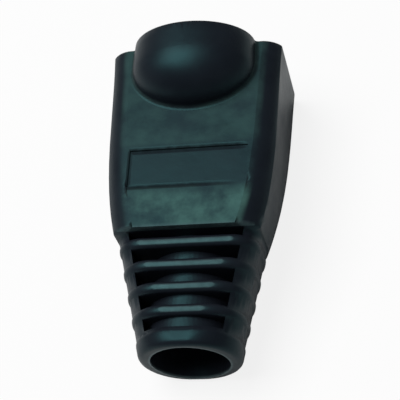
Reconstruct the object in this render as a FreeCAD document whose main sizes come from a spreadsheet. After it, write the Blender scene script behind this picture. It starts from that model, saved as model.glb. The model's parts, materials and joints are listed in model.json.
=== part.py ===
"""Snagless strain relief boot for an RJ45 plug, moulded in one piece from soft PVC.

Millimetres. X is across the boot, +Y points out of the mouth that takes the plug, +Z is up out of
the flat panel. The origin is under the middle of the boot, on the plane it stands on.

Stations are distances behind the mouth, so they grow towards the cable end.
"""
import FreeCAD, Part
import math
import os
import Sketcher

os.makedirs("parts", exist_ok=True)
document = FreeCAD.newDocument("strain_relief_boot")

# ---------------------------------------------------------------- driving dimensions
SIZES = {
    # outer body, from the mouth to the step behind the panel
    "body_length": 16.15,
    "body_height": 8.8,
    "mouth_width": 13.7,
    "mouth_bottom_radius": 1.3,
    "mouth_edge_width": 1.6,
    "mouth_edge_drop": 0.85,
    "grip_station": 5.6,
    "grip_width": 13.33,
    "grip_bottom_radius": 1.7,
    "waist_station": 10.5,
    "waist_width": 12.95,
    "waist_bottom_radius": 3.0,
    "shoulder_width": 11.2,
    "shoulder_bottom_radius": 4.5,
    "shoulder_edge_width": 1.95,
    "shoulder_edge_drop": 1.1,
    "edge_round": 0.2,
    # hood over the plug's latch
    "hood_width": 9.8,
    "hood_height": 3.4,
    "hood_straight": 2.2,
    "hood_tail": 3.65,
    "hood_reach": 12.0,
    "hood_wall": 0.8,
    "hood_foot": 0.3,
    "rim_round": 0.2,
    # socket for the plug and the funnel behind it
    "plug_width": 11.8,
    "plug_height": 7.2,
    "plug_depth": 7.0,
    "plug_corner": 0.5,
    "panel_wall": 0.9,
    "funnel_length": 6.0,
    "funnel_ledge": 0.8,
    "funnel_side_draft": 0.8,
    "funnel_height_draft": 0.3,
    "funnel_corner": 2.0,
    # plain label recess in the panel
    "label_station": 9.5,
    "label_width": 9.2,
    "label_length": 3.2,
    "label_depth": 0.12,
    # flex tail
    "tail_length": 8.9,
    "tail_top_radius": 1.9,
    "tail_step": 0.62,
    "tail_lift": 0.25,
    "end_width": 7.7,
    "end_height": 7.2,
    "end_flat": 0.1,
    "cable_depth": 5.04,
    "cable_bore": 6.0,
    "sleeve_wall": 0.35,
    "rib_count": 5,
    "rib_thickness": 0.9,
    "rib_round": 0.38,
    "first_gap": 0.45,
    "end_ring_length": 1.41,
    "nose_round": 0.5,
    "rail_width": 1.1,
    "rail_recess": 0.1,
    # how far one mass runs into the next so that they weld
    "root_overlap": 0.6,
    # stock left above and below the body, trimmed to true flat faces
    "trim_stock": 0.01,
}

sheet = document.addObject("Spreadsheet::Sheet", "sizes")
for row, (alias, number) in enumerate(SIZES.items(), start=1):
    sheet.set("A%d" % row, alias)
    sheet.set("B%d" % row, str(number))
    sheet.setAlias("B%d" % row, alias)
document.recompute()


class Size:
    """A length as the sheet knows it: the text of an expression and its present value."""

    def __init__(self, text, value):
        self.text = text
        self.value = value

    def joined(self, sign, other, value):
        return Size("(%s %s %s)" % (self.text, sign, as_size(other).text), value)

    def __add__(self, other):
        return self.joined("+", other, self.value + as_size(other).value)

    def __sub__(self, other):
        return self.joined("-", other, self.value - as_size(other).value)

    def __mul__(self, other):
        return self.joined("*", other, self.value * as_size(other).value)

    def __truediv__(self, other):
        return self.joined("/", other, self.value / as_size(other).value)


def as_size(number):
    return number if isinstance(number, Size) else Size(repr(number), number)


def size(alias):
    return Size("sizes." + alias, float(sheet.get(alias)))


def blend(start, end, share):
    return start + (end - start) * share


# ---------------------------------------------------------------- helpers
def new_body(label):
    body = document.addObject("PartDesign::Body", label)
    body.Label = label
    return body


def plane(body, role):
    return next(item for item in body.Origin.OriginFeatures if item.Role == role)


def sketch_on(body, name, role, offset):
    """A sketch on an origin plane, moved along that plane's own normal by offset."""
    sketch = body.newObject("Sketcher::SketchObject", name)
    sketch.AttachmentSupport = (plane(body, role), [""])
    sketch.MapMode = "FlatFace"
    sketch.setExpression("AttachmentOffset.Base.z", offset.text)
    return sketch


def dimension(sketch, name, length, *constraint):
    index = sketch.addConstraint(Sketcher.Constraint(*constraint, length.value))
    sketch.renameConstraint(index, name)
    sketch.setExpression("Constraints." + name, length.text)


def arc(x, z, radius, start, sweep=90):
    circle = Part.Circle(FreeCAD.Vector(x, z, 0), FreeCAD.Vector(0, 0, 1), radius)
    return Part.ArcOfCircle(circle, math.radians(start), math.radians(start + sweep))


def line(x1, z1, x2, z2):
    return Part.LineSegment(FreeCAD.Vector(x1, z1, 0), FreeCAD.Vector(x2, z2, 0))


def section(body, name, station, width, top, height, top_radius, bottom_radius):
    """A cross-section with one radius on its two upper corners and one on its two lower ones."""
    sketch = sketch_on(body, name, "XZ_Plane", station)
    a = width.value / 2
    t = top.value
    b = t - height.value
    r = top_radius.value
    q = bottom_radius.value
    sketch.addGeometry([
        line(r - a, t, a - r, t),
        arc(a - r, t - r, r, 0),
        line(a, b + q, a, t - r),
        arc(a - q, b + q, q, 270),
        line(a - q, b, q - a, b),
        arc(q - a, b + q, q, 180),
        line(-a, b + q, -a, t - r),
        arc(r - a, t - r, r, 90),
    ], False)
    joints = [(0, 2, 1, 2), (1, 1, 2, 2), (2, 1, 3, 2), (3, 1, 4, 1)]
    joints += [(4, 2, 5, 2), (5, 1, 6, 1), (6, 2, 7, 2), (7, 1, 0, 1)]
    for joint in joints:
        sketch.addConstraint(Sketcher.Constraint("Tangent", *joint))
    for index in (0, 4):
        sketch.addConstraint(Sketcher.Constraint("Horizontal", index))
    for index in (2, 6):
        sketch.addConstraint(Sketcher.Constraint("Vertical", index))
    sketch.addConstraint(Sketcher.Constraint("Equal", 3, 5))
    sketch.addConstraint(Sketcher.Constraint("Symmetric", 2, 2, 6, 2, -2))
    dimension(sketch, "top_radius", top_radius, "Radius", 1)
    dimension(sketch, "bottom_radius", bottom_radius, "Radius", 3)
    dimension(sketch, "width", width, "DistanceX", 6, 2, 2, 2)
    dimension(sketch, "top", top, "DistanceY", -1, 1, 0, 1)
    dimension(sketch, "height", height, "DistanceY", 4, 1, 0, 1)
    return sketch


def sloped_section(body, name, station, width, top, height, edge_width, edge_drop, bottom_radius):
    """A cross-section whose top curves down over edge_width and edge_drop to an edge on each side."""
    sketch = sketch_on(body, name, "XZ_Plane", station)
    a = width.value / 2
    t = top.value
    b = t - height.value
    w = edge_width.value
    d = edge_drop.value
    q = bottom_radius.value
    r = (w * w + d * d) / (2 * d)
    sweep = math.degrees(math.asin(w / r))
    sketch.addGeometry([
        line(w - a, t, a - w, t),
        arc(a - w, t - r, r, 90 - sweep, sweep),
        line(a, b + q, a, t - d),
        arc(a - q, b + q, q, 270),
        line(a - q, b, q - a, b),
        arc(q - a, b + q, q, 180),
        line(-a, b + q, -a, t - d),
        arc(w - a, t - r, r, 90, sweep),
    ], False)
    for joint in [(0, 2, 1, 2), (2, 1, 3, 2), (3, 1, 4, 1), (4, 2, 5, 2), (5, 1, 6, 1), (7, 1, 0, 1)]:
        sketch.addConstraint(Sketcher.Constraint("Tangent", *joint))
    for joint in [(1, 1, 2, 2), (6, 2, 7, 2)]:
        sketch.addConstraint(Sketcher.Constraint("Coincident", *joint))
    for index in (0, 4):
        sketch.addConstraint(Sketcher.Constraint("Horizontal", index))
    for index in (2, 6):
        sketch.addConstraint(Sketcher.Constraint("Vertical", index))
    sketch.addConstraint(Sketcher.Constraint("Equal", 1, 7))
    sketch.addConstraint(Sketcher.Constraint("Equal", 3, 5))
    sketch.addConstraint(Sketcher.Constraint("Symmetric", 2, 2, 6, 2, -2))
    dimension(sketch, "edge_width", edge_width, "DistanceX", 0, 2, 2, 2)
    dimension(sketch, "edge_drop", edge_drop, "DistanceY", 2, 2, 0, 2)
    dimension(sketch, "bottom_radius", bottom_radius, "Radius", 3)
    dimension(sketch, "width", width, "DistanceX", 6, 2, 2, 2)
    dimension(sketch, "top", top, "DistanceY", -1, 1, 0, 1)
    dimension(sketch, "height", height, "DistanceY", 4, 1, 0, 1)
    return sketch


def loft(body, kind, name, sections, ruled):
    feature = body.newObject(kind, name)
    feature.Profile = sections[0]
    feature.Sections = sections[1:]
    feature.Ruled = ruled
    document.recompute()
    return feature


def half_ellipsoid(body, kind, name, across, along, up, station, height, turn):
    """Half an ellipsoid; turn 180 keeps the half on the cable side, 0 the half on the mouth side."""
    feature = body.newObject(kind, name)
    feature.setExpression("Radius1", up.text)
    feature.setExpression("Radius2", across.text)
    feature.setExpression("Radius3", along.text)
    feature.Angle3 = 180
    feature.AttachmentSupport = (plane(body, "XY_Plane"), [""])
    feature.MapMode = "FlatFace"
    feature.AttachmentOffset = FreeCAD.Placement(
        FreeCAD.Vector(0, 0, 0), FreeCAD.Rotation(FreeCAD.Vector(0, 0, 1), turn))
    feature.setExpression("AttachmentOffset.Base.y", (station * -1).text)
    feature.setExpression("AttachmentOffset.Base.z", height.text)
    document.recompute()
    return feature


def face_edges(shape, station):
    """Names of the edges that lie in the plane at this distance behind the mouth."""
    names = []
    for index, edge in enumerate(shape.Edges, start=1):
        box = edge.BoundBox
        if abs(box.YMin + station) < 1e-4 and abs(box.YMax + station) < 1e-4:
            names.append("Edge%d" % index)
    return names


def cut_check(feature, before):
    """A pocket that points away from the solid removes nothing and reports no error."""
    document.recompute()
    if not feature.Shape.Volume < before - 1e-6:
        raise RuntimeError(feature.Name + " removed nothing")


# ---------------------------------------------------------------- shell: body, hood and socket
shell = new_body("shell")
body_top = size("body_height")
mouth = size("body_length") * 0
shoulder = size("body_length")


def outer_section(name, station, width, bottom_radius):
    """The slope beside the panel grows evenly towards the shoulder."""
    share = station / shoulder
    edge_width = blend(size("mouth_edge_width"), size("shoulder_edge_width"), share)
    edge_drop = blend(size("mouth_edge_drop"), size("shoulder_edge_drop"), share)
    stock = size("trim_stock")
    return sloped_section(shell, name, station, width, body_top + stock, body_top + stock * 2,
                          edge_width, edge_drop, bottom_radius)


outer_sections = [
    outer_section("mouth_section", mouth, size("mouth_width"), size("mouth_bottom_radius")),
    outer_section("grip_section", size("grip_station"), size("grip_width"),
                  size("grip_bottom_radius")),
    outer_section("waist_section", size("waist_station"), size("waist_width"),
                  size("waist_bottom_radius")),
    outer_section("shoulder_section", shoulder, size("shoulder_width"),
                  size("shoulder_bottom_radius")),
]
loft(shell, "PartDesign::AdditiveLoft", "outer_body", outer_sections, False)


def trim_flat(name, height, upwards):
    """Cuts away all that is above, or below, this height, and leaves a true flat face."""
    sketch = sketch_on(shell, name + "_outline", "XY_Plane", height)
    side = size("mouth_width").value
    back = -size("body_length").value * 2
    front = size("body_length").value
    sketch.addGeometry([
        line(-side, back, side, back),
        line(side, back, side, front),
        line(side, front, -side, front),
        line(-side, front, -side, back),
    ], False)
    for first in range(4):
        sketch.addConstraint(Sketcher.Constraint("Coincident", first, 2, (first + 1) % 4, 1))
    sketch.addConstraint(Sketcher.Constraint("Symmetric", 0, 1, 0, 2, -2))
    sketch.addConstraint(Sketcher.Constraint("Horizontal", 2))
    for index in (1, 3):
        sketch.addConstraint(Sketcher.Constraint("Vertical", index))
    dimension(sketch, "side", size("mouth_width"), "DistanceX", -1, 1, 1, 1)
    dimension(sketch, "front", size("body_length"), "DistanceY", -1, 1, 1, 2)
    dimension(sketch, "back", size("body_length") * 2, "DistanceY", 0, 1, -1, 1)
    before_trim = shell.Shape.Volume
    trim = shell.newObject("PartDesign::Pocket", name)
    trim.Profile = sketch
    trim.Type = "ThroughAll"
    trim.Reversed = upwards
    cut_check(trim, before_trim)


trim_flat("panel_face", body_top, True)
trim_flat("standing_face", mouth, False)

# The hood is a half-dome behind and an almost straight arch in front, cut off square at the mouth.
hood_half = size("hood_width") / 2
half_ellipsoid(shell, "PartDesign::AdditiveEllipsoid", "hood_back", hood_half, size("hood_tail"),
               size("hood_height"), size("hood_straight"), body_top, 180)
half_ellipsoid(shell, "PartDesign::AdditiveEllipsoid", "hood_front", hood_half, size("hood_reach"),
               size("hood_height"), size("hood_straight"), body_top, 0)

past_mouth = size("mouth_width") + size("body_height") + size("hood_height")
face_cut_sketch = sketch_on(shell, "face_cut_sketch", "XZ_Plane", mouth)
face_cut_sketch.addGeometry(
    Part.Circle(FreeCAD.Vector(0, 0, 0), FreeCAD.Vector(0, 0, 1), past_mouth.value), False)
face_cut_sketch.addConstraint(Sketcher.Constraint("Coincident", 0, 3, -1, 1))
dimension(face_cut_sketch, "reach", past_mouth, "Radius", 0)
before = shell.Shape.Volume
face_cut = shell.newObject("PartDesign::Pocket", "face_cut")
face_cut.Profile = face_cut_sketch
face_cut.Type = "ThroughAll"
cut_check(face_cut, before)


def foot_edges(shape):
    """Names of the edges where the hood stands on the panel."""
    reach = hood_half.value + 1e-3
    names = []
    for index, edge in enumerate(shape.Edges, start=1):
        box = edge.BoundBox
        level = abs(box.ZMin - body_top.value) < 1e-4 and abs(box.ZMax - body_top.value) < 1e-4
        if level and box.XMin > -reach and box.XMax < reach and box.YLength > 0.1:
            names.append("Edge%d" % index)
    return names


hood_foot = shell.newObject("PartDesign::Fillet", "hood_foot")
hood_foot.Base = (face_cut, foot_edges(face_cut.Shape))
hood_foot.setExpression("Radius", size("hood_foot").text)
document.recompute()



def side_edges(shape):
    """Names of the long edges between the slopes beside the panel and the side walls."""
    names = []
    for index, edge in enumerate(shape.Edges, start=1):
        box = edge.BoundBox
        below_panel = body_top.value / 2 < box.ZMin and box.ZMax < body_top.value - 1e-3
        if below_panel and box.YLength > shoulder.value / 2:
            names.append("Edge%d" % index)
    return names


panel_edges = shell.newObject("PartDesign::Fillet", "panel_edges")
panel_edges.Base = (hood_foot, side_edges(hood_foot.Shape))
panel_edges.setExpression("Radius", size("edge_round").text)
document.recompute()

mouth_rim = shell.newObject("PartDesign::Fillet", "mouth_rim")
mouth_rim.Base = (panel_edges, face_edges(panel_edges.Shape, mouth.value))
mouth_rim.setExpression("Radius", size("rim_round").text)
document.recompute()

# Inside of the hood, one wall in from the outside all round; it opens down into the socket.
inner_half = hood_half - size("hood_wall")
inner_up = size("hood_height") - size("hood_wall")
half_ellipsoid(shell, "PartDesign::SubtractiveEllipsoid", "latch_room_back", inner_half,
               size("hood_tail") - size("hood_wall"), inner_up, size("hood_straight"), body_top, 180)
half_ellipsoid(shell, "PartDesign::SubtractiveEllipsoid", "latch_room_front", inner_half,
               size("hood_reach"), inner_up, size("hood_straight"), body_top, 0)

socket_top = body_top - size("panel_wall")
socket_sketch = section(shell, "socket_section", mouth, size("plug_width"), socket_top,
                        size("plug_height"), size("plug_corner"), size("plug_corner"))
before = shell.Shape.Volume
socket = shell.newObject("PartDesign::Pocket", "plug_socket")
socket.Profile = socket_sketch
socket.Reversed = True
socket.setExpression("Length", size("plug_depth").text)
cut_check(socket, before)

# The funnel starts a ledge in from the socket, so the plug has a shoulder to stop against.
funnel_start = size("plug_depth") - size("root_overlap")
funnel_end = size("plug_depth") + size("funnel_length")
funnel_width = size("plug_width") - size("funnel_ledge") * 2
funnel_top = socket_top - size("funnel_ledge") / 2
funnel_height = size("plug_height") - size("funnel_ledge")
funnel_sections = [
    section(shell, "funnel_front", funnel_start, funnel_width, funnel_top, funnel_height,
            size("funnel_corner"), size("funnel_corner")),
    section(shell, "funnel_back", funnel_end, funnel_width - size("funnel_side_draft") * 2,
            funnel_top - size("funnel_height_draft"), funnel_height - size("funnel_height_draft"),
            size("funnel_corner") + size("funnel_side_draft"),
            size("funnel_corner") + size("funnel_side_draft")),
]
before = shell.Shape.Volume
funnel = loft(shell, "PartDesign::SubtractiveLoft", "cable_funnel", funnel_sections, True)
cut_check(funnel, before)

# Plain recess that frames the blank label area.
label_sketch = sketch_on(shell, "label_outline", "XY_Plane", body_top)
label_half = size("label_width").value / 2
label_front = -size("label_station").value
label_back = label_front - size("label_length").value
label_sketch.addGeometry([
    line(-label_half, label_front, label_half, label_front),
    line(label_half, label_front, label_half, label_back),
    line(label_half, label_back, -label_half, label_back),
    line(-label_half, label_back, -label_half, label_front),
], False)
for first in range(4):
    label_sketch.addConstraint(Sketcher.Constraint("Coincident", first, 2, (first + 1) % 4, 1))
label_sketch.addConstraint(Sketcher.Constraint("Symmetric", 0, 1, 0, 2, -2))
label_sketch.addConstraint(Sketcher.Constraint("Horizontal", 2))
for index in (1, 3):
    label_sketch.addConstraint(Sketcher.Constraint("Vertical", index))
dimension(label_sketch, "width", size("label_width"), "DistanceX", 0, 1, 0, 2)
dimension(label_sketch, "station", size("label_station"), "DistanceY", 0, 1, -1, 1)
dimension(label_sketch, "length", size("label_length"), "DistanceY", 1, 2, 1, 1)
before = shell.Shape.Volume
label_recess = shell.newObject("PartDesign::Pocket", "label_recess")
label_recess.Profile = label_sketch
label_recess.setExpression("Length", size("label_depth").text)
cut_check(label_recess, before)

# ---------------------------------------------------------------- flex tail
tail_end = size("body_length") + size("tail_length")
cable_height = body_top - size("cable_depth")
end_radius = (size("end_height") - size("end_flat")) / 2


def tail_section(body, name, distance, inset):
    """The tail's outline this far behind the step: from the shoulder's outline to a round end."""
    share = distance / size("tail_length")
    top = blend(body_top - size("tail_step"), cable_height + size("end_height") / 2, share)
    bottom = blend(size("tail_lift"), cable_height - size("end_height") / 2, share)
    return section(
        body, name, size("body_length") + distance,
        blend(size("shoulder_width"), size("end_width"), share) - inset * 2,
        top - inset,
        top - bottom - inset * 2,
        blend(size("tail_top_radius"), end_radius, share) - inset,
        blend(size("shoulder_bottom_radius") - size("tail_lift"), end_radius, share) - inset,
    )


no_inset = size("rail_recess") * 0
tail_parts = []
rib_count = int(sheet.get("rib_count"))
ring_front = size("tail_length") - size("end_ring_length")
rib_pitch = (ring_front - size("first_gap")) / (size("rib_count") - 1)
for number in range(rib_count):
    front = size("first_gap") + rib_pitch * number
    is_last = number == rib_count - 1
    back = size("tail_length") * 1 if is_last else front + size("rib_thickness")
    rib = new_body("rib_%d" % (number + 1))
    outlines = [tail_section(rib, rib.Label + "_front", front, no_inset),
                tail_section(rib, rib.Label + "_back", back, no_inset)]
    slab = loft(rib, "PartDesign::AdditiveLoft", rib.Label + "_slab", outlines, True)
    front_round = rib.newObject("PartDesign::Fillet", rib.Label + "_front_round")
    front_round.Base = (slab, face_edges(slab.Shape, size("body_length").value + front.value))
    front_round.setExpression("Radius", size("rib_round").text)
    document.recompute()
    back_round = rib.newObject("PartDesign::Fillet", rib.Label + "_back_round")
    back_station = size("body_length").value + back.value
    back_round.Base = (front_round, face_edges(front_round.Shape, back_station))
    back_round.setExpression("Radius", size("nose_round" if is_last else "rib_round").text)
    document.recompute()
    tail_parts.append(rib)

# Two side rails tie the ribs together; the window between them is what lets the tail bend.
rails = new_body("rails")
rail_end = ring_front + size("rib_thickness") / 2
rail_outlines = [tail_section(rails, "rails_front", size("root_overlap") * -1, size("rail_recess")),
                 tail_section(rails, "rails_back", rail_end, size("rail_recess"))]
rail_loft = loft(rails, "PartDesign::AdditiveLoft", "rail_outline", rail_outlines, True)


def window_width(distance):
    share = distance / size("tail_length")
    outside = blend(size("shoulder_width"), size("end_width"), share)
    return outside - (size("rail_recess") + size("rail_width")) * 2


window_sketch = sketch_on(rails, "window_outline", "XY_Plane", no_inset)
wide = window_width(no_inset)
narrow = window_width(ring_front)
window_front = -size("body_length").value
window_back = window_front - ring_front.value
window_sketch.addGeometry([
    line(-wide.value / 2, window_front, wide.value / 2, window_front),
    line(wide.value / 2, window_front, narrow.value / 2, window_back),
    line(narrow.value / 2, window_back, -narrow.value / 2, window_back),
    line(-narrow.value / 2, window_back, -wide.value / 2, window_front),
], False)
for first in range(4):
    window_sketch.addConstraint(Sketcher.Constraint("Coincident", first, 2, (first + 1) % 4, 1))
window_sketch.addConstraint(Sketcher.Constraint("Symmetric", 0, 1, 0, 2, -2))
window_sketch.addConstraint(Sketcher.Constraint("Symmetric", 2, 1, 2, 2, -2))
dimension(window_sketch, "wide", wide, "DistanceX", 0, 1, 0, 2)
dimension(window_sketch, "narrow", narrow, "DistanceX", 2, 2, 2, 1)
dimension(window_sketch, "station", size("body_length"), "DistanceY", 0, 1, -1, 1)
dimension(window_sketch, "length", ring_front, "DistanceY", 1, 2, 1, 1)
before = rails.Shape.Volume
window = rails.newObject("PartDesign::Pocket", "window")
window.Profile = window_sketch
window.Type = "ThroughAll"
window.Reversed = True
cut_check(window, before)
tail_parts.append(rails)

# The round sleeve that grips the cable runs through all the ribs.
sleeve = document.addObject("Part::Cylinder", "sleeve")
sleeve.Label = "sleeve"
sleeve.setExpression("Radius", (size("cable_bore") / 2 + size("sleeve_wall")).text)
sleeve_length = size("tail_length") + size("root_overlap") - size("nose_round")
sleeve.setExpression("Height", sleeve_length.text)
sleeve.Placement = FreeCAD.Placement(
    FreeCAD.Vector(0, 0, 0), FreeCAD.Rotation(FreeCAD.Vector(1, 0, 0), 90))
sleeve.setExpression("Placement.Base.y", ((size("body_length") - size("root_overlap")) * -1).text)
sleeve.setExpression("Placement.Base.z", cable_height.text)

bore = document.addObject("Part::Cylinder", "cable_bore_tool")
bore.Label = "cable_bore_tool"
bore.setExpression("Radius", (size("cable_bore") / 2).text)
bore_start = funnel_end - size("root_overlap")
bore.setExpression("Height", (tail_end - bore_start + size("root_overlap")).text)
bore.Placement = FreeCAD.Placement(
    FreeCAD.Vector(0, 0, 0), FreeCAD.Rotation(FreeCAD.Vector(1, 0, 0), 90))
bore.setExpression("Placement.Base.y", (bore_start * -1).text)
bore.setExpression("Placement.Base.z", cable_height.text)

# ---------------------------------------------------------------- the one moulding
moulding = document.addObject("Part::MultiFuse", "moulding")
moulding.Label = "moulding"
moulding.Shapes = [shell] + tail_parts + [sleeve]
moulding.Refine = True
document.recompute()

boot = document.addObject("Part::Cut", "boot")
boot.Label = "boot"
boot.Base = moulding
boot.Tool = bore
boot.setExpression("Placement.Base.y", (tail_end / 2).text)
document.recompute()

# ---------------------------------------------------------------- checks and export
for item in document.Objects:
    if "Invalid" in item.State or "Error" in item.State:
        raise RuntimeError("%s failed: %s" % (item.Label, item.State))
shape = boot.Shape
if shape.isNull() or not shape.isValid() or len(shape.Solids) != 1:
    raise RuntimeError("boot is not one valid solid")
shape.exportStep("parts/boot.step")
box = shape.optimalBoundingBox()
print("boot: %.3f x %.3f x %.3f mm, %.1f mm3" % (box.XLength, box.YLength, box.ZLength, shape.Volume))
print("x %.3f..%.3f  y %.3f..%.3f  z %.3f..%.3f" % (
    box.XMin, box.XMax, box.YMin, box.YMax, box.ZMin, box.ZMax))
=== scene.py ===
# %% [markdown]
# # Snagless strain relief boot for an RJ45 plug
# A network lead breaks first where the stiff plug meets the soft cable, so a boot is slipped over
# the joint. This one has three jobs in one moulding: a flat-topped box that grips the plug, a hood
# that stops the plug's latch from snagging, and a ribbed tail that bends with the cable.
# The whole boot is one shot of soft PVC, so there is one piece to dress. Black plastic has almost
# no colour to show, so most of this lesson is about its skin, its sheen and where the light stands.

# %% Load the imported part
import json
import math

import bpy
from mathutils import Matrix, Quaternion, Vector


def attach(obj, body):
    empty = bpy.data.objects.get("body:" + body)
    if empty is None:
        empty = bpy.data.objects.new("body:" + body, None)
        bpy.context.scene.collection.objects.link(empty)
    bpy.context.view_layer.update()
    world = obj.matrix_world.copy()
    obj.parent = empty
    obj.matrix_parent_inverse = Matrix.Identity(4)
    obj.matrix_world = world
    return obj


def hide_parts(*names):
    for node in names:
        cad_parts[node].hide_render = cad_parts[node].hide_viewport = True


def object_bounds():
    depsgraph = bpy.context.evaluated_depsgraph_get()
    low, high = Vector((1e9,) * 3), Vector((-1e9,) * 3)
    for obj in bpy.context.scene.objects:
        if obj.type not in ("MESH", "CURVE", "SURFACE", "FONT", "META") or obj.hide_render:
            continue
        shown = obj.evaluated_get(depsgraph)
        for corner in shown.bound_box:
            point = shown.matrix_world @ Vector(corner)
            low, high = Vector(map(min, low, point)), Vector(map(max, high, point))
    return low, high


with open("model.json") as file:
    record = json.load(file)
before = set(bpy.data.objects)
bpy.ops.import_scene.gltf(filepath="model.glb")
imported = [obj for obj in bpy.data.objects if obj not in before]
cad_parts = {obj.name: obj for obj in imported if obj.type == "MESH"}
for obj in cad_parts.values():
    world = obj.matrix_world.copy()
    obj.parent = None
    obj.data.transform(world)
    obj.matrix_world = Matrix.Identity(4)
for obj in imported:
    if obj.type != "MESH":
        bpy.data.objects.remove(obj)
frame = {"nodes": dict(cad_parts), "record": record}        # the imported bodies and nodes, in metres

part_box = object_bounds()
print("nodes:", sorted(frame["nodes"]), "box:", part_box)

# %% [markdown]
# ## The view
# A small thing is seen best from close by through a long lens, which keeps its sides nearly
# parallel. The camera could be placed by trial and error, but it is easier to steer when it is
# written as one would say it aloud: what it looks at, from which side, from how high, from how far,
# and how much the camera is tilted in the hand. What it looks at is a point near the boot's middle.

# %% Camera
MM = 0.001


def direction_from(azimuth, elevation):
    """The direction from the boot towards something seen at this azimuth from the tail and elevation."""
    turn = math.radians(azimuth)
    rise = math.radians(elevation)
    flat = math.cos(rise)
    return Vector((math.sin(turn) * flat, -math.cos(turn) * flat, math.sin(rise)))


def aimed(direction, roll=0.0):
    """The rotation of a camera or lamp that looks against this direction, rolled in its own plane."""
    look = (-direction).to_track_quat("-Z", "Y")
    return (look @ Quaternion((0.0, 0.0, 1.0), math.radians(roll))).to_euler()


boot_middle = (Vector(part_box[0]) + Vector(part_box[1])) / 2
view_centre = boot_middle + Vector((0.85, -0.88, 1.4)) * MM
view_direction = direction_from(azimuth=23.2, elevation=58.4)
view_distance = 100 * MM
view_roll = -23.1
lens_length = 119.5
sensor_width = 36.0

bpy.ops.object.camera_add(
    location=view_centre + view_direction * view_distance,
    rotation=aimed(view_direction, view_roll),
)
camera = bpy.context.object
camera.name = "camera"
camera.data.lens = lens_length
camera.data.sensor_width = sensor_width
camera.data.clip_start = 1 * MM
camera.data.clip_end = 5.0
bpy.context.scene.camera = camera
print("camera stands at", [round(v / MM, 1) for v in camera.location], "mm")

# %% [markdown]
# ## The skin of the boot
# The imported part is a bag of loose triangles, shaded flat. A copy of it is welded into one skin and
# shaded smooth, except where two faces meet at a real edge. Smoothing everything would blur the
# edges of the rings and the label field; smoothing nothing would show every triangle as a facet.
# Long thin triangles still tilt the shading of a flat panel beside a curved one. The cure is to keep
# the borders of the level planes and of the round bore crisp, and to let large faces count for more
# than small ones where they meet.

# %% Weld a copy of the moulding
WELD_GAP = 0.002 * MM
SHARP_ANGLE = math.radians(28)


def deselect_all():
    """Leaves object mode with nothing selected."""
    if bpy.context.object is not None and bpy.context.object.mode != "OBJECT":
        bpy.ops.object.mode_set(mode="OBJECT")
    bpy.ops.object.select_all(action="DESELECT")


def take_up(piece):
    """Makes this piece the only one that an operator acts on."""
    deselect_all()
    piece.select_set(True)
    bpy.context.view_layer.objects.active = piece


def welded_copy(node, name):
    """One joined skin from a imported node, with smooth faces and sharp edges."""
    source = frame["nodes"][node]
    take_up(source)
    bpy.ops.object.duplicate()
    skin = bpy.context.object
    skin.name = name
    skin.data.name = name
    bpy.ops.object.mode_set(mode="EDIT")
    bpy.ops.mesh.select_all(action="SELECT")
    bpy.ops.mesh.remove_doubles(threshold=WELD_GAP)
    bpy.ops.object.mode_set(mode="OBJECT")
    bpy.ops.object.shade_smooth_by_angle(angle=SHARP_ANGLE)
    return skin


boot_skin = welded_copy("boot", "moulded_boot")
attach(boot_skin, "root")
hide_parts("boot")
print("moulded boot:", len(boot_skin.data.vertices), "points,", len(boot_skin.data.polygons), "faces")

# %% Find the level planes
LEVEL = 0.99999              # a face counts as level when its normal rises by this or more
LEAST_PLANE = 5 * MM ** 2    # smaller ones are left out


def level_planes(mesh, least_area):
    """The faces of each level plane larger than this, facing up or down, by its height in mm."""
    planes = {}
    for face in mesh.polygons:
        if abs(face.normal.z) > LEVEL:
            planes.setdefault(round(face.center.z / MM, 2), set()).add(face.index)
    return {height: faces for height, faces in planes.items()
            if sum(mesh.polygons[index].area for index in faces) > least_area}


def extent(mesh, faces, axis):
    """From where to where these faces reach along an axis, 0 for X and 1 for Y."""
    places = [mesh.vertices[point].co[axis] for index in faces for point in mesh.polygons[index].vertices]
    return min(places), max(places)


planes = level_planes(boot_skin.data, LEAST_PLANE)
field_height, panel_height = sorted(planes)[-2:]
field_left, field_right = extent(boot_skin.data, planes[field_height], 0)
field_near, field_far = extent(boot_skin.data, planes[field_height], 1)
print("level planes at", sorted(planes), "mm; the label field is",
      round((field_right - field_left) / MM, 2), "x", round((field_far - field_near) / MM, 2), "mm")

# %% Find the round walls
RADIAL = 0.995    # a normal counts as pointing away from the axis, or towards it, from this on
UPRIGHT = 0.01    # and as square to it up to this


def round_faces(mesh, axis_z):
    """The faces of cylinders about the cable's axis: the bore and the sleeve between the rings."""
    found = set()
    for face in mesh.polygons:
        outwards = Vector((face.center.x, 0.0, face.center.z - axis_z)).normalized()
        if abs(face.normal.dot(outwards)) > RADIAL and abs(face.normal.y) < UPRIGHT:
            found.add(face.index)
    return found


bore = next(mount for mount in frame["record"]["mounts"] if mount["name"] == "cable_bore")
bore_height = bore["pos_m"][2]
bore_radius = bore["dims"]["r_mm"] * MM
round_walls = round_faces(boot_skin.data, bore_height)
print("round walls:", len(round_walls), "faces; the bore has a radius of", bore["dims"]["r_mm"], "mm")

# %% Keep their shading to themselves
WHOLE_WEIGHT = 100


def crisp_border(mesh, kept):
    """Marks the border of these faces as sharp, so that nothing beyond it tilts their shading."""
    kept_beside = {}
    for face in mesh.polygons:
        for key in face.edge_keys:
            kept_beside[key] = kept_beside.get(key, 0) + (face.index in kept)
    for edge in mesh.edges:
        if kept_beside[edge.key] == 1:
            edge.use_edge_sharp = True


crisp_border(boot_skin.data, set().union(*planes.values()))
crisp_border(boot_skin.data, round_walls)
take_up(boot_skin)
bpy.ops.object.modifier_add(type="WEIGHTED_NORMAL")
weighting = boot_skin.modifiers[-1]
weighting.mode = "FACE_AREA"
weighting.weight = WHOLE_WEIGHT
weighting.keep_sharp = True
bpy.ops.object.modifier_apply(modifier=weighting.name)
print("sharp edges:", sum(1 for edge in boot_skin.data.edges if edge.use_edge_sharp))

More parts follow.
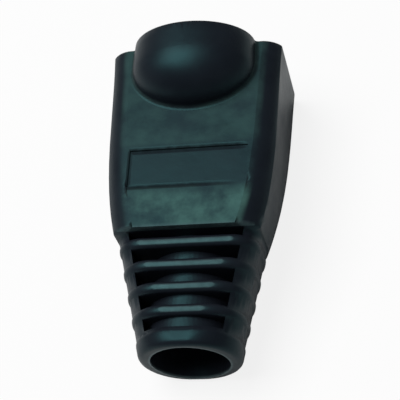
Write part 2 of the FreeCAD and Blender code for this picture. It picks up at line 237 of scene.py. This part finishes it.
# %% [markdown]
# ## Soft black PVC
# Soft PVC is dyed through with carbon black and comes out of the mould with a satin skin. Three
# things make it read as plastic and not as a hole in the picture: a sheen with a cool blue-green
# tint, which is also wide and uneven, a black that isn't quite even either, and a skin that is never
# quite flat, with a fine grain from the spark-eroded mould over slow waves where the thick parts
# sank as they cooled.
# It could be painted from a picture, but noise on the piece's own coordinates keeps its scale from
# every side. The tint sits on the shader itself, because it is the same all over.

# %% An empty finish


def new_finish(name):
    """An empty node material with one shader, ready to be wired."""
    finish = bpy.data.materials.new(name)
    finish.use_nodes = True
    nodes = finish.node_tree.nodes
    nodes.clear()
    output = nodes.new("ShaderNodeOutputMaterial")
    shader = nodes.new("ShaderNodeBsdfPrincipled")
    finish.node_tree.links.new(shader.outputs["BSDF"], output.inputs["Surface"])
    return finish, shader


pvc, pvc_shader = new_finish("soft_black_pvc")
boot_skin.data.materials.clear()
boot_skin.data.materials.append(pvc)
print(boot_skin.name, "wears", pvc.name)

# %% A weak sheen with a cool tint
SHEEN_INDEX = 1.45
SHEEN_LEVEL = 0.24
SHEEN_TINT = (0.30, 0.95, 1.0)

pvc_shader.inputs["IOR"].default_value = SHEEN_INDEX
pvc_shader.inputs["Specular IOR Level"].default_value = SHEEN_LEVEL
pvc_shader.inputs["Specular Tint"].default_value = (*SHEEN_TINT, 1.0)
print("sheen: index", SHEEN_INDEX, "level", SHEEN_LEVEL, "tint", SHEEN_TINT)

# %% An uneven black and an uneven sheen
PEEL_SIZE = 0.5 * MM
SINK_SIZE = 3.0 * MM
DEEP_BLACK = (0.0085, 0.0100, 0.0150)
PALE_BLACK = (0.0120, 0.0140, 0.0200)
SLEEK = 0.34
DULL = 0.46
NOISE_LOW = 0.3
NOISE_HIGH = 0.7


def noise(finish, size, detail=2.0, roughness=0.5):
    """A noise whose lumps are about this size, read on the piece's own coordinates."""
    nodes = finish.node_tree.nodes
    place = nodes.new("ShaderNodeTexCoord")
    lumps = nodes.new("ShaderNodeTexNoise")
    lumps.inputs["Scale"].default_value = 1.0 / size
    lumps.inputs["Detail"].default_value = detail
    lumps.inputs["Roughness"].default_value = roughness
    finish.node_tree.links.new(place.outputs["Object"], lumps.inputs["Vector"])
    return lumps.outputs["Fac"]


def ramp(finish, value, low, high):
    """Turns a noise into a colour between two colours."""
    colours = finish.node_tree.nodes.new("ShaderNodeValToRGB")
    first, last = colours.color_ramp.elements
    first.position, first.color = NOISE_LOW, (*low, 1.0)
    last.position, last.color = NOISE_HIGH, (*high, 1.0)
    finish.node_tree.links.new(value, colours.inputs["Fac"])
    return colours.outputs["Color"]


def spread(finish, value, low, high):
    """Stretches a noise over low to high."""
    stretch = finish.node_tree.nodes.new("ShaderNodeMapRange")
    stretch.inputs["From Min"].default_value = NOISE_LOW
    stretch.inputs["From Max"].default_value = NOISE_HIGH
    stretch.inputs["To Min"].default_value = low
    stretch.inputs["To Max"].default_value = high
    finish.node_tree.links.new(value, stretch.inputs["Value"])
    return stretch.outputs["Result"]


carbon = ramp(pvc, noise(pvc, SINK_SIZE, detail=4.0), DEEP_BLACK, PALE_BLACK)
bloom = spread(pvc, noise(pvc, SINK_SIZE, detail=5.0, roughness=0.6), SLEEK, DULL)
print("the sheen's roughness runs from", SLEEK, "to", DULL)

# %% A skin that is never flat
GRAIN_SIZE = 0.09 * MM
SINK_DEPTH = 0.03 * MM
PEEL_DEPTH = 0.006 * MM
GRAIN_DEPTH = 0.003 * MM


def raised(finish, height, depth, under=None):
    """A bump of this depth, laid over another one."""
    bump = finish.node_tree.nodes.new("ShaderNodeBump")
    bump.inputs["Distance"].default_value = depth
    bump.inputs["Strength"].default_value = 1.0
    finish.node_tree.links.new(height, bump.inputs["Height"])
    if under is not None:
        finish.node_tree.links.new(under, bump.inputs["Normal"])
    return bump.outputs["Normal"]


waves = raised(pvc, noise(pvc, SINK_SIZE), SINK_DEPTH)
peel = raised(pvc, noise(pvc, PEEL_SIZE), PEEL_DEPTH, under=waves)
grain = raised(pvc, noise(pvc, GRAIN_SIZE), GRAIN_DEPTH, under=peel)
print("lumps of", [round(size / MM, 2) for size in (SINK_SIZE, PEEL_SIZE, GRAIN_SIZE)], "mm")

# %% [markdown]
# ## Painted light and shade on it
# The label field is left blank. What shows of it is its step, drawn as a soft line of painted shade
# along the foot of the step, where the skin is also made duller and sunk a little, so the line reads
# darker than the panel. The far side of the field has most of it, the near side less, and more of it
# on the left.
# On the open parts of the panel a pale blue-green painted sheen with cloudy edges lifts the colour.
# It is strongest near the tail and weakest in the label field.
# The crests of the rings and the rim of the cable hole get painted highlights, a paler colour on the
# crests and round the rim.
# All of these are masks: a distance, measured on the piece's own coordinates, turned into a soft
# band, and broken up by noise so that no edge looks drawn with a ruler.

# %% Arithmetic on the boot's own coordinates


def value_math(finish, operation, one, other=0.0):
    """One step of arithmetic; each side is a socket or a number."""
    step = finish.node_tree.nodes.new("ShaderNodeMath")
    step.operation = operation
    for side, given in enumerate((one, other)):
        if isinstance(given, (int, float)):
            step.inputs[side].default_value = given
        else:
            finish.node_tree.links.new(given, step.inputs[side])
    return step.outputs["Value"]


def chained(finish, operation, values):
    """All of these values taken together by one operation, from the first to the last."""
    result = values[0]
    for value in values[1:]:
        result = value_math(finish, operation, result, value)
    return result


def times(finish, *values):
    """All of these multiplied together: what every one of the masks lets through."""
    return chained(finish, "MULTIPLY", values)


def most(finish, *values):
    """The greatest of these: what any one of the masks lets through."""
    return chained(finish, "MAXIMUM", values)


def position(finish):
    """The piece's own X, Y and Z."""
    nodes = finish.node_tree.nodes
    place = nodes.new("ShaderNodeTexCoord")
    split = nodes.new("ShaderNodeSeparateXYZ")
    finish.node_tree.links.new(place.outputs["Object"], split.inputs["Vector"])
    return split.outputs["X"], split.outputs["Y"], split.outputs["Z"]


x, y, z = position(pvc)
print("soft PVC has", len(pvc.node_tree.nodes), "nodes so far")

# %% Soft edges for the masks


def step_up(finish, value, start, end):
    """0 before start, 1 after end, and smooth between them; end may be the smaller one."""
    rise = finish.node_tree.nodes.new("ShaderNodeMapRange")
    rise.interpolation_type = "SMOOTHSTEP"
    rise.inputs["From Min"].default_value = start
    rise.inputs["From Max"].default_value = end
    finish.node_tree.links.new(value, rise.inputs["Value"])
    return rise.outputs["Result"]


def band(finish, value, middle, half_width):
    """1 at the middle, fading to 0 at half_width on both sides."""
    away = value_math(finish, "ABSOLUTE", value_math(finish, "SUBTRACT", value, middle))
    return step_up(finish, away, half_width, 0.0)


panel_z = panel_height * MM
tail_y = part_box[0][1]
print("panel at", panel_height, "mm; the tail ends at", round(tail_y / MM, 2), "mm")

# %% Painted shade along the steps of the label field
NEAR_PANEL = 0.4 * MM               # the painted shade lies no farther than this above or below the panel
SOFT_END = 0.1 * MM                 # how softly a line ends
RIGHT_FADE = 0.8 * MM               # and how much sooner it starts to end on the right
FAR_LINE = 0.32 * MM                # half the width of each line
NEAR_LINE = 0.28 * MM
LEFT_LINE = 0.22 * MM
FAR_INSET = 0.02 * MM               # how far inside the field a line lies
LEFT_INSET = 0.05 * MM
NEAR_FADE = (4.4 * MM, 0.5 * MM)    # the near line comes in from here to here along X
LEFT_SHARE = 0.7                    # the left line is weaker by this
LEAST_PATCH = 0.55                  # what the noise leaves at the least

patchy = spread(pvc, noise(pvc, PEEL_SIZE, detail=3.0), LEAST_PATCH, 1.0)
across = times(pvc, step_up(pvc, x, field_left - SOFT_END, field_left + SOFT_END),
               step_up(pvc, x, field_right + SOFT_END, field_right - RIGHT_FADE))
along = times(pvc, step_up(pvc, y, field_near - SOFT_END, field_near + SOFT_END),
              step_up(pvc, y, field_far + SOFT_END, field_far - SOFT_END))
far_line = times(pvc, band(pvc, y, field_far - FAR_INSET, FAR_LINE), across)
near_line = times(pvc, band(pvc, y, field_near, NEAR_LINE), across, step_up(pvc, x, *NEAR_FADE))
left_line = times(pvc, band(pvc, x, field_left + LEFT_INSET, LEFT_LINE), along, LEFT_SHARE)
# the line of painted shade along the steps, where the skin is also made duller and sunk
step_shade = times(pvc, most(pvc, far_line, near_line, left_line), band(pvc, z, panel_z, NEAR_PANEL), patchy)
print("dust along y", round(field_far / MM, 2), "and", round(field_near / MM, 2), "mm")

# %% A painted sheen on the open panel
CLOUD_SIZE = 2.0 * MM
CLOUD_EDGES = (0.26, 0.74)                    # the noise is nothing below and all above these
PAINTED_SHEEN_FROM_BELOW = (-0.16 * MM, -0.02 * MM)    # from where to where the painted sheen comes in, from the panel
PAINTED_SHEEN_FROM_ABOVE = (0.4 * MM, 0.1 * MM)
NEAR_PAINTED_SHEEN_RISES = (0.3 * MM, -1.2 * MM)       # the same, from the near side of the field
FAR_PAINTED_SHEEN_RISES = (0.0, 0.8 * MM)              # and from its far side
FAR_PAINTED_SHEEN = 0.32                               # the share of painted sheen on the far side
FIELD_PAINTED_SHEEN = 0.12                             # and in the field itself


def step_past(finish, value, place, rises):
    """A step whose start and end are given from a place on."""
    start, end = rises
    return step_up(finish, value, place + start, place + end)


clouds = step_up(pvc, noise(pvc, CLOUD_SIZE, detail=4.0, roughness=0.55), *CLOUD_EDGES)
on_panel = times(pvc, step_past(pvc, z, panel_z, PAINTED_SHEEN_FROM_BELOW),
                 step_past(pvc, z, panel_z, PAINTED_SHEEN_FROM_ABOVE))
near_painted_sheen = step_past(pvc, y, field_near, NEAR_PAINTED_SHEEN_RISES)
far_painted_sheen = times(pvc, step_past(pvc, y, field_far, FAR_PAINTED_SHEEN_RISES), FAR_PAINTED_SHEEN)
# the painted sheen: a pale blue-green lift of the panel's colour, in cloudy patches
painted_sheen = times(pvc, most(pvc, near_painted_sheen, far_painted_sheen, FIELD_PAINTED_SHEEN), on_panel, clouds)
print("film in clouds of", round(CLOUD_SIZE / MM, 1), "mm")

# %% A painted highlight on the rim of the cable hole
RIM_WIDTH = 0.22 * MM    # across the end of the tail
RIM_DEPTH = 0.25 * MM    # into the hole

up = value_math(pvc, "SUBTRACT", z, bore_height)
radius = value_math(pvc, "SQRT", value_math(pvc, "ADD", times(pvc, x, x), times(pvc, up, up)))
# a painted highlight: a paler colour round the rim of the cable hole
rim_highlight = times(pvc, band(pvc, radius, bore_radius, RIM_WIDTH), band(pvc, y, tail_y, RIM_DEPTH), patchy)
print("rubbed rim at", round(bore_radius / MM, 2), "mm from the cable's axis")

# %% Painted highlights on the crests of the rings
FIRST_RING = 8.0 * MM                      # from the end of the tail to the ring behind the panel
END_RING = 1.0 * MM                        # and to the ring round the cable hole
RING_REACH = 0.4 * MM                      # how far beside such a place its crest is looked for
HIGHLIGHT_DEPTH = (-0.045 * MM, -0.010 * MM)    # the painted highlight starts and is whole here, below the crests
FIRST_HIGHLIGHT = (9.2 * MM, 8.8 * MM)          # and from the end of the tail, here on the first ring
LAST_HIGHLIGHT = (1.5 * MM, 1.9 * MM)           # and here on the last one that gets it


def highest(mesh, station, reach):
    """The height of the highest point of the mesh within reach of this station along Y."""
    return max(point.co.z for point in mesh.vertices if abs(point.co.y - station) < reach)


first_crest = highest(boot_skin.data, tail_y + FIRST_RING, RING_REACH)
end_crest = highest(boot_skin.data, tail_y + END_RING, RING_REACH)
slope = (first_crest - end_crest) / (FIRST_RING - END_RING)
from_end = value_math(pvc, "SUBTRACT", y, tail_y + END_RING)
crest_line = value_math(pvc, "ADD", times(pvc, from_end, slope), end_crest)
above_crest = value_math(pvc, "SUBTRACT", z, crest_line)
on_rings = times(pvc, step_past(pvc, y, tail_y, FIRST_HIGHLIGHT), step_past(pvc, y, tail_y, LAST_HIGHLIGHT))
# a painted highlight: a paler colour along the crests of the rings
crest_highlight = times(pvc, step_up(pvc, above_crest, *HIGHLIGHT_DEPTH), on_rings, patchy)
print("crests fall from", round(first_crest / MM, 2), "to", round(end_crest / MM, 2), "mm")

# %% Lay them over one another
# painted sheen, painted shade and painted highlights, laid over the black in this order
PAINTED_SHEEN_COLOUR = (0.050, 0.112, 0.098)
STEP_SHADE_COLOUR = (0.006, 0.007, 0.009)
CREST_HIGHLIGHT_COLOUR = (0.050, 0.080, 0.086)
RIM_HIGHLIGHT_COLOUR = (0.10, 0.14, 0.15)
STEP_LINE_DULLS = 0.5            # what the line of painted shade adds to the roughness
STEP_LINE_SINKS = 0.09 * MM      # and how deep its line looks
UNDER, OVER, RESULT = 6, 7, 2    # where a mix node keeps its colour sockets


def mixed(finish, share, under, over):
    """A colour laid over another one by a share."""
    mix = finish.node_tree.nodes.new("ShaderNodeMix")
    mix.data_type = "RGBA"
    finish.node_tree.links.new(share, mix.inputs["Factor"])
    finish.node_tree.links.new(under, mix.inputs[UNDER])
    mix.inputs[OVER].default_value = (*over, 1.0)
    return mix.outputs[RESULT]


colour = carbon
layers = ((painted_sheen, PAINTED_SHEEN_COLOUR), (step_shade, STEP_SHADE_COLOUR), (crest_highlight, CREST_HIGHLIGHT_COLOUR), (rim_highlight, RIM_HIGHLIGHT_COLOUR))
for share, over in layers:
    colour = mixed(pvc, share, colour, over)
roughness = value_math(pvc, "ADD", bloom, times(pvc, step_shade, STEP_LINE_DULLS))
surface = raised(pvc, times(pvc, step_shade, -1.0), STEP_LINE_SINKS, under=grain)
pvc.node_tree.links.new(colour, pvc_shader.inputs["Base Color"])
pvc.node_tree.links.new(roughness, pvc_shader.inputs["Roughness"])
pvc.node_tree.links.new(surface, pvc_shader.inputs["Normal"])
print("soft PVC has", len(pvc.node_tree.nodes), "nodes")

# %% [markdown]
# ## The floor
# A plain white sheet of paper. Its own colour takes the light and the boot's shadow. What the
# camera sees of it is mixed most of the way to pure white, so that it reads as a studio ground with
# only a trace of the shadow left. The boot's sheen sees the paper nearly as it is lit.

# %% Lay the paper
FLOOR_SIZE = 1200 * MM
PAPER_WHITE = 0.9
PAPER_ROUGHNESS = 0.9
floor_top = part_box[0][2]

deselect_all()
bpy.ops.mesh.primitive_plane_add(size=FLOOR_SIZE, location=(0.0, 0.0, floor_top))
floor = bpy.context.object
floor.name = "floor"
bpy.ops.object.transform_apply(location=True, rotation=True, scale=True)
paper, paper_shader = new_finish("white_paper")
paper_shader.inputs["Base Color"].default_value = (PAPER_WHITE, PAPER_WHITE, PAPER_WHITE, 1.0)
paper_shader.inputs["Roughness"].default_value = PAPER_ROUGHNESS
floor.data.materials.append(paper)
print("floor at", round(floor_top / MM, 3), "mm")

# %% Mix what is seen of it towards white
WHITE_TO_CAMERA = 0.85    # how much of what the camera sees is pure white
WHITE_TO_SHEEN = 0.03     # and of what the boot's sheen sees

paper_nodes = paper.node_tree.nodes
paper_links = paper.node_tree.links
rays = paper_nodes.new("ShaderNodeLightPath")
to_sheen = most(paper, rays.outputs["Is Glossy Ray"], rays.outputs["Is Transmission Ray"])
whitened = most(paper, times(paper, rays.outputs["Is Camera Ray"], WHITE_TO_CAMERA),
                times(paper, to_sheen, WHITE_TO_SHEEN))
white_ground = paper_nodes.new("ShaderNodeEmission")
white_ground.inputs["Strength"].default_value = 1.0
shown = paper_nodes.new("ShaderNodeMixShader")
paper_output = next(node for node in paper_nodes if node.type == "OUTPUT_MATERIAL")
paper_links.new(whitened, shown.inputs["Fac"])
paper_links.new(paper_shader.outputs["BSDF"], shown.inputs[1])
paper_links.new(white_ground.outputs["Emission"], shown.inputs[2])
paper_links.new(shown.outputs["Shader"], paper_output.inputs["Surface"])
print("the paper shows the camera", round(WHITE_TO_CAMERA * 100), "% pure white")

# %% [markdown]
# ## The light
# One large soft lamp stands high above the boot, to its left and a little towards the mouth. A
# flat face that points up mirrors the edge of it towards the camera, and the satin skin spreads
# that, so the panel and the crests of the rings light up, while the rear of the hood and the slopes
# beside the panel stay dark, which is what shows their shape. A second lamp would fill those slopes
# again. An even, weak light from all around keeps the shade from going black.

# %% Lamp
lamp_direction = direction_from(azimuth=250, elevation=68)
lamp_distance = 600 * MM
lamp_size = 440 * MM
lamp_power = 3.9

bpy.ops.object.light_add(
    type="AREA",
    location=view_centre + lamp_direction * lamp_distance,
    rotation=aimed(lamp_direction),
)
lamp = bpy.context.object
lamp.name = "key_lamp"
lamp.data.size = lamp_size
lamp.data.energy = lamp_power
print("lamp stands at", [round(v / MM) for v in lamp.location], "mm and gives", lamp_power, "W")

# %% World
WORLD_LIGHT = 0.08

world = bpy.data.worlds.new("studio")
bpy.context.scene.world = world
world.use_nodes = True
background = world.node_tree.nodes["Background"]
background.inputs["Color"].default_value = (1.0, 1.0, 1.0, 1.0)
background.inputs["Strength"].default_value = WORLD_LIGHT
bpy.context.scene.view_settings.view_transform = "Standard"
print("light from all around:", WORLD_LIGHT)
